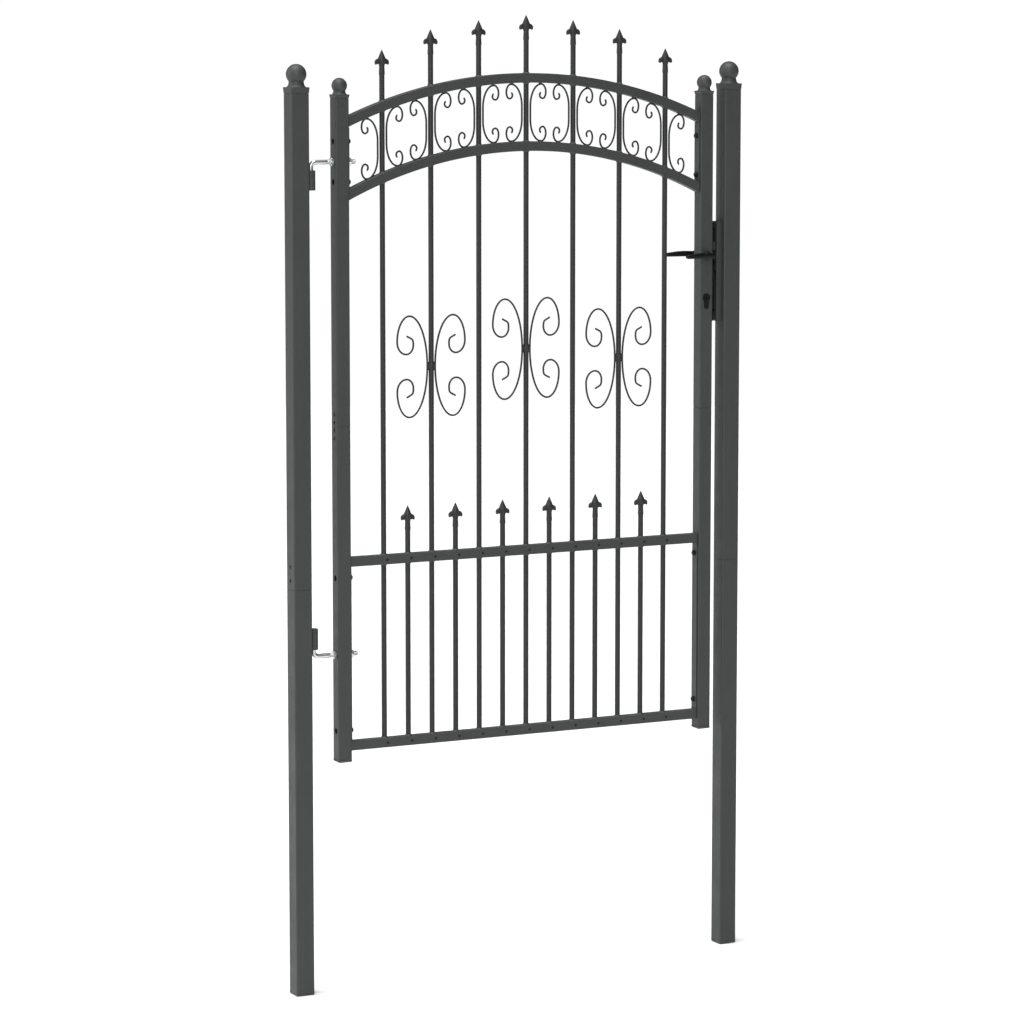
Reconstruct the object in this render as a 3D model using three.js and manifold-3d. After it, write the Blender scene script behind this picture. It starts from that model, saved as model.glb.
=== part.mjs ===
// Garden gate: an arched, spear-topped leaf hung between two square posts.
// Millimetres, Z up. The closed leaf stands in the XZ plane, and Y points to its back.
// The origin is at the level of the posts' feet, midway between the posts.
import * as THREE from 'three';
import { mergeVertices } from 'three/addons/utils/BufferGeometryUtils.js';
import Module from 'manifold-3d';

const wasm = await Module();
wasm.setup();
const { Manifold } = wasm;

// Fits
const GAP = 0.3; // between pieces that touch
const WALL = 1.5; // of every square tube

// Posts
const POST_SIDE = 40;
const POST_CORNER = 3;
const POST_X = 505;
const POST_SEAM_Z = 851;
const POST_TUBE_TOP = 1866.7;
const POST_BOLT_RISES = [18, 47]; // above the seam
const POST_CAP = { tube: 40, plate: 42.6, bottom: 1867, top: 1879, middle: 1905, ball: 21, neck: 15.5 };

// Stiles, the two uprights of the leaf
const STILE_SIDE = 30;
const STILE_CORNER = 2.5;
const LEFT_STILE_X = -409.5;
const RIGHT_STILE_X = 444.5;
const STILE_FOOT_Z = 482.3;
const STILE_FOOT_HEIGHT = 5;
const STILE_SEAM_Z = 1183.5;
const STILE_TUBE_TOP = 1856.3;
const STILE_BOLT_RISES = [-24.7, -7.6, 7.6, 24.7]; // from the seam
const STILE_CAP = { tube: 30, plate: 32.6, bottom: 1856.6, top: 1863.6, middle: 1881.3, ball: 16, neck: 12.5 };
const SEAM_HOLE_R = 4.5;
const SLEEVE_REACH = 60; // how far a sleeve goes into each half of a joined tube

// Rails
const RAIL = 20;
const RAIL_CORNER = 1.5;
const LEAF_MID_X = 17.5;
const BOTTOM_RAIL_Z = 505.4;
const MID_RAIL_Z = 891;
const UPPER_ARCH = { crown: 1904, radius: 1036 };
const LOWER_ARCH = { crown: 1762, radius: 959 };
const ARCH_STEPS = 20;

// Flat bars that bolt the two panels to the stiles
const FLAT_THICK = 2.5;
const FLAT_WIDE = 20;
const PANEL_BOLT_R = 3;
const PANEL_ACCESS_R = 6.5;
const PANEL_BOLT_Z = { lower: [547.6, 868], upper: [1685, 1768] };

// Pickets
const PICKET_R = 5.5;
const PICKET_SIDES = 8;
const PICKET_PITCH = 110.5;
const PICKET_FOOT_Z = 507.4;
const TALL_TIPS_Z = [1954, 1995, 2013.7, 2024.5, 2013.7, 1995, 1954];
const SHORT_TIP_Z = 1011;

// Scrolls. A knot is a point where the wire runs upright or level, and the two kinds take turns.
const WIRE_R = 2;
const WIRE_SIDES = 4; // a corner faces each way along the curl's normal
const BAND_BACK = 10;
const BAND_KNOTS = [[35, 0], [46.2, -16.5], [39, -30], [32, -23.5], [34.7, -18]];
const BAND_STEPS = [3, 3, 2, 2, 1];
const BAND_SHOULDER = 45; // how far below its top the wire leaves the straight back
const BAND_SINK = 1; // how far a scroll sinks into the rail it is welded to
const WING_KNOTS = [[50, 105.3], [78, 52], [57, 26], [41, 45], [56, 63.5]];
const WING_STEPS = [4, 4, 3, 3, 2];
const WING_BACK = 9;
const COLLAR = { r: 7.6, height: 16 };
const BUTTERFLIES = { '-2': 1299.7, 0: 1327.8, 2: 1299.7 }; // picket and height

// Hinges: a bent bolt on the leaf stands in a barrel on the post
const HINGE_X = -474.2;
const HINGE_R = 5;
const HINGE_BEND = 10;
const HINGE_END_X = -375;
const BARREL = { outer: 9.5, bore: 5.5 };
const HINGES = {
  upper: { arm: 1726.3, pin: 1676, low: 1669.5, high: 1710 },
  lower: { arm: 708.4, pin: 758.7, low: 723, high: 766.5 },
};
const NUT = { flats: 16, thick: 5.5, bore: 5.3 };

// Lock and handle
const SPINDLE_Z = 1513;
const SPINDLE_SIDE = 7;
const SPINDLE_HALF = 36;
const KEY_Z = 1421.9;
const LOCK_LOW = 1370;
const LOCK_HIGH = 1584;
const CASE = { low: 1386, high: 1552, half: 8 };
const FOREND = { thick: 2.5, half: 11 };
const LATCH = { z: 1532, height: 18, half: 5.7, from: 446, to: 476.8, bevel: 14 };
const DEADBOLT = { z: 1468, height: 21.4, half: 6, from: 433.2, to: 461.8 };
const KEEPER = { face: 472.5, front: -8.5, stop: 15.6, lip: 455, sheet: 2 };
const CYLINDER = { r: 8.5, drop: 24.5, web: 5, half: 16.5, bore: 6.6 };
const PLUG = { r: 6.3, half: 17, slot: 1.6, slotTall: 8, slotDeep: 6 };
const LEVER = { base: 8.5, baseTo: 20, hub: 6.5, near: 15.4, far: 45, arm: 10, reach: 71, sweep: 5 };

const stileInnerLeft = LEFT_STILE_X + STILE_SIDE / 2;
const stileInnerRight = RIGHT_STILE_X - STILE_SIDE / 2;
const stileOuterRight = RIGHT_STILE_X + STILE_SIDE / 2;
const postFaceLeft = -POST_X + POST_SIDE / 2;
const postFaceRight = POST_X - POST_SIDE / 2;
const railFrom = stileInnerLeft + GAP;
const railTo = stileInnerRight - GAP;

// ---------------------------------------------------------------- helpers

// A three.js geometry as a solid, turned to face out.
function solid(geometry) {
  const bare = geometry.index ? geometry.toNonIndexed() : geometry.clone();
  bare.deleteAttribute('normal');
  bare.deleteAttribute('uv');
  const merged = mergeVertices(bare, 1e-4);
  const at = merged.attributes.position;
  const corners = [];
  let volume = 0;
  const [a, b, c] = [new THREE.Vector3(), new THREE.Vector3(), new THREE.Vector3()];
  for (let i = 0; i < merged.index.count; i += 3) {
    const face = [0, 1, 2].map((k) => merged.index.getX(i + k));
    if (new Set(face).size < 3) continue;
    corners.push(...face);
    a.fromBufferAttribute(at, face[0]);
    b.fromBufferAttribute(at, face[1]);
    c.fromBufferAttribute(at, face[2]);
    volume += a.dot(b.cross(c));
  }
  if (volume < 0) corners.reverse();
  return new Manifold(
    new wasm.Mesh({
      numProp: 3,
      vertProperties: at.array,
      triVerts: Uint32Array.from(corners),
    }),
  );
}

// A box between two limits on each axis.
function box(x0, x1, y0, y1, z0, z1) {
  const made = new THREE.BoxGeometry(x1 - x0, y1 - y0, z1 - z0);
  made.translate((x0 + x1) / 2, (y0 + y1) / 2, (z0 + z1) / 2);
  return solid(made);
}

// A round bar along x, y or z, from one limit to the other, centred on the other two coordinates.
function bar(axis, r, from, to, p, q, sides = 16) {
  const made = new THREE.CylinderGeometry(r, r, to - from, sides);
  const middle = (from + to) / 2;
  if (axis === 'x') made.rotateZ(Math.PI / 2).translate(middle, p, q);
  if (axis === 'y') made.translate(p, middle, q);
  if (axis === 'z') made.rotateX(Math.PI / 2).translate(p, q, middle);
  return solid(made);
}

// A square with rounded corners.
function squareShape(side, corner, turn = 2) {
  const shape = new THREE.Shape();
  const c = side / 2 - corner;
  for (const [i, [x, y]] of [[c, c], [-c, c], [-c, -c], [c, -c]].entries()) {
    for (let k = 0; k <= turn; k += 1) {
      const angle = ((i + k / turn) * Math.PI) / 2;
      const px = x + corner * Math.cos(angle);
      const py = y + corner * Math.sin(angle);
      if (i + k === 0) shape.moveTo(px, py);
      else shape.lineTo(px, py);
    }
  }
  return shape;
}

// A square tube standing on z0, with open ends.
function tube(x, side, corner, wall, z0, z1) {
  const shape = squareShape(side, corner);
  shape.holes.push(squareShape(side - 2 * wall, Math.max(corner - wall, 0.5), 1));
  const made = new THREE.ExtrudeGeometry(shape, { depth: z1 - z0, bevelEnabled: false });
  made.translate(x, 0, z0);
  return solid(made);
}

// A square plug with chamfered corners, half wide either way from x.
function plug(x, half, z0, z1) {
  const made = new THREE.ExtrudeGeometry(squareShape(2 * half, 2, 1), {
    depth: z1 - z0,
    bevelEnabled: false,
  });
  made.translate(x, 0, z0);
  return solid(made);
}

// A flat outline in X and Z given thickness in Y, from y0 to y1.
function plate(shape, y0, y1, options = {}) {
  const made = new THREE.ExtrudeGeometry(shape, {
    depth: y1 - y0,
    bevelEnabled: false,
    ...options,
  });
  made.rotateX(Math.PI / 2).translate(0, y1, 0);
  return solid(made);
}

// A round profile turned about the Z axis through x. The points are [radius, height].
function turned(points, x, sides) {
  const made = new THREE.LatheGeometry(points.map(([r, z]) => new THREE.Vector2(r, z)), sides);
  made.rotateX(Math.PI / 2).translate(x, 0, 0);
  return solid(made);
}

// A path in the XZ plane: straight lines and quarter ellipses, each in its own number of steps.
class WirePath extends THREE.Curve {
  constructor(pieces) {
    super();
    this.pieces = pieces;
    this.total = pieces.reduce((sum, piece) => sum + piece.steps, 0);
  }

  getPoint(t) {
    let left = Math.min(Math.max(t, 0), 1) * this.total;
    let piece = this.pieces[0];
    for (piece of this.pieces) {
      if (left <= piece.steps) break;
      left -= piece.steps;
    }
    const share = Math.min(left / piece.steps, 1);
    const turn = (share * Math.PI) / 2;
    const early = 1 - Math.cos(turn);
    const late = Math.sin(turn);
    const [along, up] = { line: [share, share], rise: [early, late], level: [late, early] }[piece.kind];
    const [x0, z0] = piece.from;
    const [x1, z1] = piece.to;
    return new THREE.Vector3(x0 + (x1 - x0) * along, 0, z0 + (z1 - z0) * up);
  }

  getPointAt(u) {
    return this.getPoint(u);
  }

  getTangentAt(u) {
    return this.getTangent(u);
  }
}

// A round wire that follows a path.
function wire(pieces, r, sides) {
  const path = new WirePath(pieces);
  const ring = [];
  for (let k = 0; k < sides; k += 1) {
    const angle = (k / sides) * 2 * Math.PI;
    ring.push(new THREE.Vector2(r * Math.cos(angle), r * Math.sin(angle)));
  }
  const made = new THREE.ExtrudeGeometry(new THREE.Shape(ring), {
    steps: path.total,
    extrudePath: path,
    bevelEnabled: false,
  });
  return solid(made);
}

// The pieces of a wire that curls inwards through the knots after leaving start upright.
function curl(start, knots, steps) {
  let from = start;
  return knots.map((to, i) => {
    const piece = { from, to, kind: i % 2 ? 'level' : 'rise', steps: steps[i] };
    from = to;
    return piece;
  });
}

// The same pieces run the other way.
function reversed(pieces) {
  const swap = { line: 'line', rise: 'level', level: 'rise' };
  return pieces
    .map(({ from, to, kind, steps }) => ({ from: to, to: from, kind: swap[kind], steps }))
    .reverse();
}

const meshes = new Map();

// Adds a named mesh with a material of its own.
function add(name, made, look) {
  const { numProp, vertProperties, triVerts } = made.getMesh();
  const geometry = new THREE.BufferGeometry();
  if (numProp !== 3) throw new Error(`${name} carries more than positions`);
  geometry.setAttribute('position', new THREE.BufferAttribute(vertProperties, 3));
  geometry.setIndex(new THREE.BufferAttribute(triVerts, 1));
  geometry.computeVertexNormals();
  const material = new THREE.MeshStandardMaterial(look);
  material.name = name;
  const mesh = new THREE.Mesh(geometry, material);
  mesh.name = name;
  meshes.set(name, mesh);
}

const PAINT = { color: 0x474b49, roughness: 0.55, metalness: 0.1 };
const BLACK = { color: 0x121314, roughness: 0.5, metalness: 0.1 };
const ZINC = { color: 0xb9bcbd, roughness: 0.35, metalness: 1 };
const STEEL = { color: 0x8d8f91, roughness: 0.4, metalness: 1 };
const PLASTIC = { color: 0x454847, roughness: 0.6, metalness: 0 };

// ---------------------------------------------------------------- posts and stiles

// A plug with a square plate, a flared neck and a ball.
function cap(x, { tube: side, plate: wide, bottom, top, middle, ball, neck }) {
  const hand = new THREE.CylinderGeometry(
    (wide / 2) * Math.SQRT2,
    (side / 2) * Math.SQRT2,
    top - bottom,
    4,
    1,
  );
  hand.rotateY(Math.PI / 4).rotateX(Math.PI / 2).translate(x, 0, (bottom + top) / 2);
  const inner = side / 2 - WALL - GAP;
  const rise = Math.sqrt(ball * ball - neck * neck);
  const from = Math.asin(-rise / ball);
  const profile = [[0, top - 2], [wide * 0.47, top - 2], [wide * 0.47, top + 0.8]];
  profile.push([neck + (wide * 0.47 - neck) * 0.35, top + 2.6], [neck, middle - rise]);
  const rings = 7;
  for (let k = 1; k < rings; k += 1) {
    const angle = from + ((Math.PI / 2 - from) * k) / rings;
    profile.push([ball * Math.cos(angle), middle + ball * Math.sin(angle)]);
  }
  profile.push([0, middle + ball]);
  return solid(hand)
    .add(plug(x, inner, bottom - 15, bottom + 1))
    .add(turned(profile, x, 14));
}

// The two posts. Each is two tubes joined over a sleeve.
for (const [side, sign] of [['left', -1], ['right', 1]]) {
  const x = sign * POST_X;
  let upper = tube(x, POST_SIDE, POST_CORNER, WALL, POST_SEAM_Z + GAP, POST_TUBE_TOP);
  const lower = tube(x, POST_SIDE, POST_CORNER, WALL, 0, POST_SEAM_Z);
  const outer = x + (sign * POST_SIDE) / 2;
  for (const rise of POST_BOLT_RISES) {
    const hole = [outer - 3, outer + 3, 0, POST_SEAM_Z + rise];
    upper = upper.subtract(bar('x', SEAM_HOLE_R, ...hole, 12));
  }
  const inner = POST_SIDE - 2 * WALL - 2 * GAP;
  const sleeve = [POST_SEAM_Z - SLEEVE_REACH, POST_SEAM_Z + SLEEVE_REACH];
  add(`${side}_post_upper`, upper, PAINT);
  add(`${side}_post_lower`, lower, PAINT);
  add(`${side}_post_sleeve`, tube(x, inner, POST_CORNER - 0.6, WALL, ...sleeve), STEEL);
  add(`${side}_post_cap`, cap(x, POST_CAP), PAINT);
}

// The two stiles, before the right one is cut for the lock.
const STILES = [['left', LEFT_STILE_X, -1], ['right', RIGHT_STILE_X, 1]];
for (const [side, x, sign] of STILES) {
  let upper = tube(x, STILE_SIDE, STILE_CORNER, WALL, STILE_SEAM_Z + GAP, STILE_TUBE_TOP);
  const foot = STILE_FOOT_Z + STILE_FOOT_HEIGHT + GAP;
  let lower = tube(x, STILE_SIDE, STILE_CORNER, WALL, foot, STILE_SEAM_Z);
  const outer = x + (sign * STILE_SIDE) / 2;
  const inner = x - (sign * STILE_SIDE) / 2;
  for (const rise of STILE_BOLT_RISES) {
    const hole = bar('x', SEAM_HOLE_R, outer - 3, outer + 3, 0, STILE_SEAM_Z + rise, 10);
    if (rise > 0) upper = upper.subtract(hole);
    else lower = lower.subtract(hole);
  }
  const drill = (z) =>
    bar('x', PANEL_ACCESS_R, outer - 3, outer + 3, 0, z, 12).add(
      bar('x', PANEL_BOLT_R + GAP, inner - 3, inner + 3, 0, z, 8),
    );
  for (const z of PANEL_BOLT_Z.upper) upper = upper.subtract(drill(z));
  for (const z of PANEL_BOLT_Z.lower) lower = lower.subtract(drill(z));
  if (side === 'left') {
    const arm = (z) => bar('x', HINGE_R + GAP, x - 20, x + 20, 0, z, 12);
    upper = upper.subtract(arm(HINGES.upper.arm));
    lower = lower.subtract(arm(HINGES.lower.arm));
  } else {
    const spindle = bar('y', 7, -20, 20, x, SPINDLE_Z, 16);
    const mouth = box(x, x + 20, -CASE.half - GAP, CASE.half + GAP, CASE.low - GAP, CASE.high + GAP);
    upper = upper.subtract(spindle).subtract(mouth).subtract(keyProfile(0.4, 20));
  }
  add(`${side}_stile_upper`, upper, PAINT);
  add(`${side}_stile_lower`, lower, PAINT);
  const sleeveSide = STILE_SIDE - 2 * WALL - 2 * GAP;
  const sleeve = [STILE_SEAM_Z - SLEEVE_REACH, STILE_SEAM_Z + SLEEVE_REACH];
  add(`${side}_stile_sleeve`, tube(x, sleeveSide, STILE_CORNER - 0.6, WALL, ...sleeve), STEEL);
  add(`${side}_stile_cap`, cap(x, STILE_CAP), PAINT);
  add(`${side}_stile_foot`, stileFoot(x), PLASTIC);
}

// A plug for the lower end of a stile, with a chamfered sole.
function stileFoot(x) {
  const top = STILE_FOOT_Z + STILE_FOOT_HEIGHT;
  const wide = STILE_SIDE + 1;
  const inner = STILE_SIDE / 2 - WALL - GAP;
  const sole = new THREE.CylinderGeometry(
    (wide / 2) * Math.SQRT2,
    (wide / 2 - 2) * Math.SQRT2,
    2.5,
    4,
    1,
  );
  sole.rotateY(Math.PI / 4).rotateX(Math.PI / 2).translate(x, 0, STILE_FOOT_Z + 1.25);
  return solid(sole)
    .add(box(x - wide / 2, x + wide / 2, -wide / 2, wide / 2, STILE_FOOT_Z + 2.5, top))
    .add(plug(x, inner, top - 1, top + 14));
}

// ---------------------------------------------------------------- rails and flats

// Height of a circle's upper side, crown high at the leaf's middle.
function arcHeight({ crown, radius }, x) {
  const across = x - LEAF_MID_X;
  return crown - radius + Math.sqrt(radius * radius - across * across);
}

const underArch = ({ crown, radius }) => ({ crown: crown - RAIL, radius: radius - RAIL });

// The band between two concentric arcs, inset by some distance on every side.
function archBand(arch, inset) {
  const reach = (railTo - railFrom) / 2 + 8;
  const outer = arch.radius - inset;
  const inner = arch.radius - RAIL + inset;
  const centre = arch.crown - arch.radius;
  const shape = new THREE.Shape();
  for (const [r, way] of [[outer, 1], [inner, -1]]) {
    for (let k = 0; k <= ARCH_STEPS; k += 1) {
      const angle = way * Math.asin(reach / r) * ((2 * k) / ARCH_STEPS - 1);
      const x = LEAF_MID_X + r * Math.sin(angle);
      const z = centre + r * Math.cos(angle);
      if (way === 1 && k === 0) shape.moveTo(x, z);
      else shape.lineTo(x, z);
    }
  }
  return shape;
}

const picketX = (place) => LEAF_MID_X + place * PICKET_PITCH;
const TALL = [-3, -2, -1, 0, 1, 2, 3];
const SHORT = [-2.5, -1.5, -0.5, 0.5, 1.5, 2.5];
const picketHole = (place, z0, z1) => bar('z', PICKET_R + 0.6, z0, z1, picketX(place), 0, 8);

// A bent square tube with a vertical cut at each end and a hole for each tall picket.
function archRail(arch) {
  const half = RAIL / 2;
  const c = RAIL_CORNER;
  const bevel = { bevelEnabled: true, bevelThickness: c, bevelSize: c, bevelSegments: 1 };
  let made = plate(archBand(arch, c), -half + c, half - c, bevel);
  made = made.subtract(plate(archBand(arch, WALL), -half + WALL, half - WALL));
  made = made.intersect(box(railFrom, railTo, -20, 20, arch.crown - 200, arch.crown + 50));
  for (const place of TALL) {
    const z = arcHeight(arch, picketX(place));
    made = made.subtract(picketHole(place, z - RAIL - 15, z + 15));
  }
  return made;
}

// A straight square tube along X with a hole for every picket.
function straightRail(z, through) {
  const shape = squareShape(RAIL, RAIL_CORNER, 1);
  shape.holes.push(squareShape(RAIL - 2 * WALL, 0.5, 1));
  const long = railTo - railFrom;
  const geometry = new THREE.ExtrudeGeometry(shape, { depth: long, bevelEnabled: false });
  geometry.rotateY(Math.PI / 2).translate(railFrom, 0, z + RAIL / 2);
  let made = solid(geometry);
  for (const place of [...TALL, ...SHORT]) {
    made = made.subtract(picketHole(place, through ? z - 5 : z + RAIL / 2, z + RAIL + 5));
  }
  return made;
}

add('bottom_rail', straightRail(BOTTOM_RAIL_Z, false), PAINT);
add('mid_rail', straightRail(MID_RAIL_Z, true), PAINT);
add('upper_arch_rail', archRail(UPPER_ARCH), PAINT);

// The lower arch carries a pair of C-scrolls beside every tall picket.
let scrolledArch = archRail(LOWER_ARCH);
const bandTop = underArch(UPPER_ARCH);
for (const place of TALL) {
  for (const side of [-1, 1]) {
    const x = (out) => picketX(place) + side * out;
    const shoulder = -BAND_SHOULDER;
    const upper = curl([BAND_BACK, shoulder], BAND_KNOTS, BAND_STEPS);
    const shape = new WirePath(upper);
    let top = Infinity;
    let bottom = -Infinity;
    for (let k = 0; k <= shape.total; k += 1) {
      const p = shape.getPoint(k / shape.total);
      top = Math.min(top, arcHeight(bandTop, x(p.x)) - GAP - WIRE_R - p.z);
      bottom = Math.max(bottom, arcHeight(LOWER_ARCH, x(p.x)) - BAND_SINK + WIRE_R + p.z);
    }
    const high = upper.map((piece) => ({
      ...piece,
      from: [x(piece.from[0]), top + piece.from[1]],
      to: [x(piece.to[0]), top + piece.to[1]],
    }));
    const low = upper.map((piece) => ({
      ...piece,
      from: [x(piece.from[0]), bottom - piece.from[1]],
      to: [x(piece.to[0]), bottom - piece.to[1]],
    }));
    const back = { from: low[0].from, to: high[0].from, kind: 'line', steps: 1 };
    scrolledArch = scrolledArch.add(wire([...reversed(low), back, ...high], WIRE_R, WIRE_SIDES));
  }
}
add('lower_arch_rail', scrolledArch, PAINT);

// The flat bars between the rails, against each stile.
for (const [side, face, sign] of [['left', stileInnerLeft, 1], ['right', stileInnerRight, -1]]) {
  const near = face + sign * GAP;
  const far = near + sign * FLAT_THICK;
  const [x0, x1] = [Math.min(near, far), Math.max(near, far)];
  const edge = FLAT_WIDE / 2;
  const spans = {
    lower: [BOTTOM_RAIL_Z + RAIL + GAP, MID_RAIL_Z - GAP],
    upper: [
      Math.max(arcHeight(LOWER_ARCH, x0), arcHeight(LOWER_ARCH, x1)) + GAP,
      Math.min(arcHeight(bandTop, x0), arcHeight(bandTop, x1)) - GAP,
    ],
  };
  for (const [panel, [z0, z1]] of Object.entries(spans)) {
    let made = box(x0, x1, -edge, edge, z0, z1);
    for (const z of PANEL_BOLT_Z[panel]) {
      made = made.subtract(bar('x', PANEL_BOLT_R + GAP, x0 - 2, x1 + 2, 0, z, 8));
    }
    if (side === 'left') {
      made = made.subtract(bar('x', HINGE_R + GAP, x0 - 2, x1 + 2, 0, HINGES[panel].arm, 12));
    }
    add(`${panel}_${side}_flat`, made, PAINT);
  }
}

// ---------------------------------------------------------------- pickets and scrolls

// A round bar with a spear head: a point over two drooping barbs and a short socket.
function picket(x, tip) {
  const r = PICKET_R;
  const profile = [[0, -60], [r, -60], [r, -52], [r + 0.8, -50], [r + 0.1, -34], [7.8, -24]];
  profile.push([7, -18.5], [0.9, -0.8], [0, 0]);
  const barbs = new THREE.Shape();
  const half = [[0, -16], [6.5, -18.2], [10, -19.6], [13.6, -19.6], [15.4, -21.6], [15.4, -29.5]];
  half.push([13.2, -31.6], [10, -29.6], [5.6, -33], [0, -33]);
  for (const [i, [u, w]] of half.entries()) {
    if (i) barbs.lineTo(x + u, tip + w);
    else barbs.moveTo(x + u, tip + w);
  }
  for (const [u, w] of half.slice(1, -1).reverse()) barbs.lineTo(x - u, tip + w);
  const head = profile.map(([radius, z]) => [radius, tip + z]);
  return turned(head, x, PICKET_SIDES)
    .add(bar('z', r, PICKET_FOOT_Z, tip - 59, x, 0, PICKET_SIDES))
    .add(plate(barbs, -3.5, 3.5));
}

for (const [i, place] of TALL.entries()) {
  add(`tall_picket_${i + 1}`, picket(picketX(place), TALL_TIPS_Z[i]), PAINT);
}
for (const [i, place] of SHORT.entries()) {
  add(`short_picket_${i + 1}`, picket(picketX(place), SHORT_TIP_Z), PAINT);
}

// A collar with a C-scroll on each side of a picket.
for (const [i, [place, z]] of Object.entries(BUTTERFLIES).sort((a, b) => a[0] - b[0]).entries()) {
  const x = picketX(Number(place));
  const half = COLLAR.height / 2;
  let made = bar('z', COLLAR.r, z - half, z + half, x, 0, 12);
  for (const side of [-1, 1]) {
    const at = ([u, w], way) => [x + side * u, z + way * w];
    const wing = curl([WING_BACK, 0], WING_KNOTS, WING_STEPS);
    const [high, low] = [1, -1].map((way) =>
      wing.map((piece) => ({ ...piece, from: at(piece.from, way), to: at(piece.to, way) })),
    );
    made = made.add(wire([...reversed(low), ...high], WIRE_R, WIRE_SIDES));
  }
  made = made.subtract(bar('z', PICKET_R + GAP, z - half - 1, z + half + 1, x, 0, 12));
  add(`butterfly_scroll_${i + 1}`, made, PAINT);
}

// ---------------------------------------------------------------- hinges

for (const [name, { arm, pin, low, high }] of Object.entries(HINGES)) {
  const way = Math.sign(arm - pin);
  const web = box(postFaceLeft + GAP, HINGE_X, -4, 4, low, high);
  const barrel = bar('z', BARREL.outer, low, high, HINGE_X, 0, 20)
    .add(web)
    .subtract(bar('z', BARREL.bore, low - 1, high + 1, HINGE_X, 0, 20));
  add(`${name}_hinge_barrel`, barrel, PAINT);
  const elbow = [HINGE_X, arm - way * HINGE_BEND];
  const level = [HINGE_X + HINGE_BEND, arm];
  const bent = wire(
    [
      { from: [HINGE_X, pin], to: elbow, kind: 'line', steps: 1 },
      { from: elbow, to: level, kind: 'rise', steps: 5 },
      { from: level, to: [HINGE_END_X, arm], kind: 'line', steps: 1 },
    ],
    HINGE_R,
    12,
  );
  add(`${name}_hinge_bolt`, bent, ZINC);
  const faces = [
    ['outer', LEFT_STILE_X - STILE_SIDE / 2 - GAP - NUT.thick],
    ['inner', stileInnerLeft + FLAT_THICK + 2 * GAP],
  ];
  for (const [where, x0] of faces) {
    const hex = bar('x', NUT.flats / Math.sqrt(3), x0, x0 + NUT.thick, 0, arm, 6);
    const nut = hex.subtract(bar('x', NUT.bore, x0 - 1, x0 + NUT.thick + 1, 0, arm, 12));
    add(`${name}_${where}_hinge_nut`, nut, ZINC);
  }
}

// ---------------------------------------------------------------- lock

// The outline of the lock cylinder and of the holes that take it, grown by some distance.
function keyProfile(grow, half) {
  const round = bar('y', CYLINDER.r + grow, -half, half, RIGHT_STILE_X, KEY_Z, 16);
  const web = CYLINDER.web + grow;
  const low = KEY_Z - CYLINDER.drop + CYLINDER.web;
  return round
    .add(box(RIGHT_STILE_X - web, RIGHT_STILE_X + web, -half, half, low, KEY_Z))
    .add(bar('y', web, -half, half, RIGHT_STILE_X, low, 12));
}

// A box cut or bolt on a slide's line, from one X to another.
const slider = ({ z, height, half }, from, to, grow = 0) =>
  box(from, to, -half - grow, half + grow, z - height / 2 - grow, z + height / 2 + grow);

const caseBack = stileInnerRight + WALL + 0.4;
const forendX = stileOuterRight + GAP;
const lockCase = box(caseBack, forendX + 1, -CASE.half, CASE.half, CASE.low, CASE.high)
  .add(box(forendX, forendX + FOREND.thick, -FOREND.half, FOREND.half, LOCK_LOW, LOCK_HIGH))
  .subtract(bar('y', 5.8, -20, 20, RIGHT_STILE_X, SPINDLE_Z, 16))
  .subtract(keyProfile(GAP, 20))
  .subtract(slider(LATCH, caseBack + 1.4, forendX + 10, GAP))
  .subtract(slider(DEADBOLT, caseBack + 1.4, forendX + 10, GAP));
add('lock_case', lockCase, BLACK);

const bevel = new THREE.Shape();
bevel.moveTo(LATCH.to - LATCH.bevel, LATCH.half + 0.01);
bevel.lineTo(LATCH.to + 1, LATCH.half + 0.01);
bevel.lineTo(LATCH.to + 1, -LATCH.half + 2.4);
const bevelCut = new THREE.ExtrudeGeometry(bevel, { depth: LATCH.height + 4, bevelEnabled: false });
bevelCut.translate(0, 0, LATCH.z - LATCH.height / 2 - 2);
add('latch_bolt', slider(LATCH, LATCH.from, LATCH.to).subtract(solid(bevelCut)), STEEL);
add('dead_bolt', slider(DEADBOLT, DEADBOLT.from, DEADBOLT.to), STEEL);

add(
  'lock_cylinder',
  keyProfile(0, CYLINDER.half).subtract(bar('y', CYLINDER.bore, -20, 20, RIGHT_STILE_X, KEY_Z, 20)),
  BLACK,
);
const slotX = [RIGHT_STILE_X - PLUG.slot / 2, RIGHT_STILE_X + PLUG.slot / 2];
const slotZ = [KEY_Z - PLUG.slotTall / 2, KEY_Z + PLUG.slotTall / 2];
const keyPlug = bar('y', PLUG.r, -PLUG.half, PLUG.half, RIGHT_STILE_X, KEY_Z, 20)
  .subtract(box(...slotX, -PLUG.half - 1, -PLUG.half + PLUG.slotDeep, ...slotZ))
  .subtract(box(...slotX, PLUG.half - PLUG.slotDeep, PLUG.half + 1, ...slotZ));
add('cylinder_plug', keyPlug, BLACK);

// The keeper on the post: a bent sheet with a lip behind the stile and two holes for the bolts.
const keeperEnd = postFaceRight - GAP;
const { face, front, stop, lip, sheet } = KEEPER;
const bend = new THREE.Shape();
bend.moveTo(keeperEnd, front);
bend.lineTo(face, front);
bend.lineTo(face, stop);
bend.lineTo(lip, stop);
bend.lineTo(lip, stop + sheet);
bend.lineTo(keeperEnd, stop + sheet);
bend.lineTo(keeperEnd, stop);
bend.lineTo(face + sheet, stop);
bend.lineTo(face + sheet, front + sheet);
bend.lineTo(keeperEnd, front + sheet);
const channel = new THREE.ExtrudeGeometry(bend, {
  depth: LOCK_HIGH - LOCK_LOW,
  bevelEnabled: false,
});
channel.translate(0, 0, LOCK_LOW);
const keeper = solid(channel)
  .subtract(slider(LATCH, face - 1, face + sheet + 1, 0.7))
  .subtract(slider(DEADBOLT, face - 1, face + sheet + 1, 0.4));
add('strike_keeper', keeper, PAINT);

// ---------------------------------------------------------------- handle

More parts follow.
